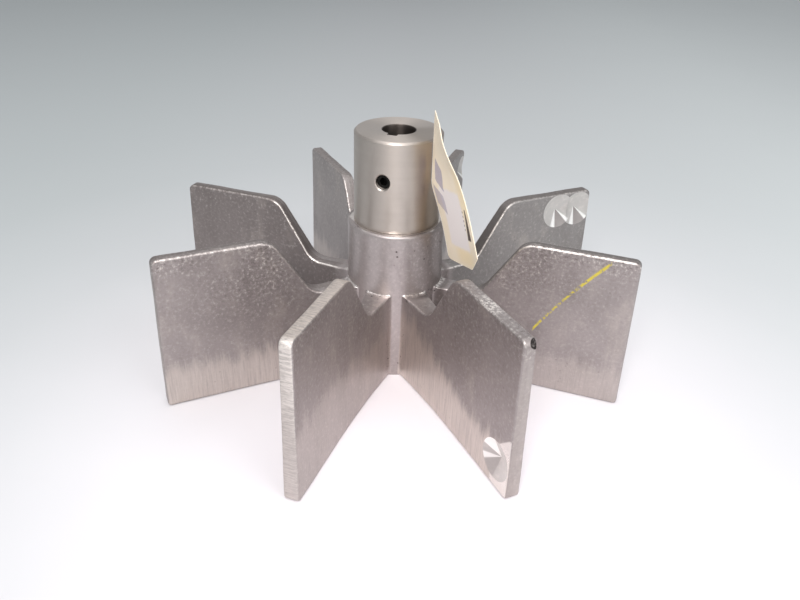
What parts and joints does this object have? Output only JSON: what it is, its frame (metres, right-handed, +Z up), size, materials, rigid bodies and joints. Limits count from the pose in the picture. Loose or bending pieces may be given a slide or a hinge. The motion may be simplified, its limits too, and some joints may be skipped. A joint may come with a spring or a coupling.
{
  "type": "impeller",
  "caption": "Cast impeller with straight radial blades around a boss, on a turned steel hub with a keyed bore.",
  "frame": {"origin": "on the hub's axis, in the plane of the blades' lower edges and the hub's lower face, which the part stands on", "axes": "+Z up along the hub's axis, towards the end of the hub that stands proud; -Y towards the keyway, the set screw and the first blade; blades every 45 degrees"},
  "size_m": [0.3174, 0.3174, 0.1829],
  "materials": {
    "cast_aluminium": "as cast, grainy, ground along the foot of the blades",
    "turned_steel": "turned, satin",
    "black_steel": "black oxide",
    "cream_paper": "uncoated card with a faded label, no text"
  },
  "bodies": {
    "root": {"impeller_casting": "cast_aluminium", "steel_hub": "turned_steel", "set_screw": "black_steel", "paper_tag": "cream_paper"}
  },
  "joints": []
}
